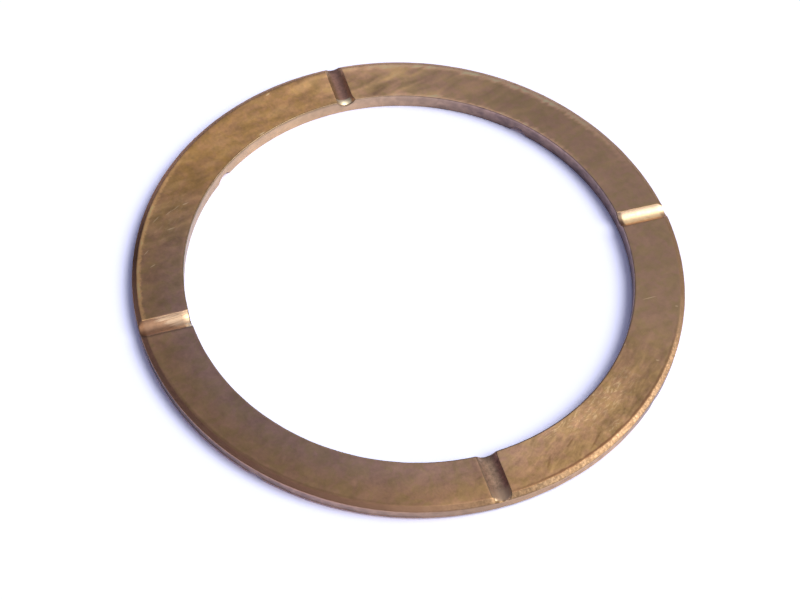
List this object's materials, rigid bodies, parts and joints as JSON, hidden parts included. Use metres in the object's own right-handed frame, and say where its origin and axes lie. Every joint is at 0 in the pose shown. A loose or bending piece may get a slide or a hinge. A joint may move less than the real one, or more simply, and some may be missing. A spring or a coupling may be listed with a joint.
{
  "type": "pressure ring",
  "caption": "Flat bronze pressure ring: a thrust washer with radial oil grooves across both faces and a chamfered rim.",
  "frame": {"origin": "centre of the ring on its bottom face", "axes": "+Z along the ring's axis, out of the top face, which is the face that the picture shows"},
  "size_m": [0.1, 0.1, 0.003],
  "materials": {
    "bronze": "worn, tarnished bearing bronze, satin"
  },
  "bodies": {
    "root": {"pressure_ring": "bronze"}
  },
  "joints": []
}
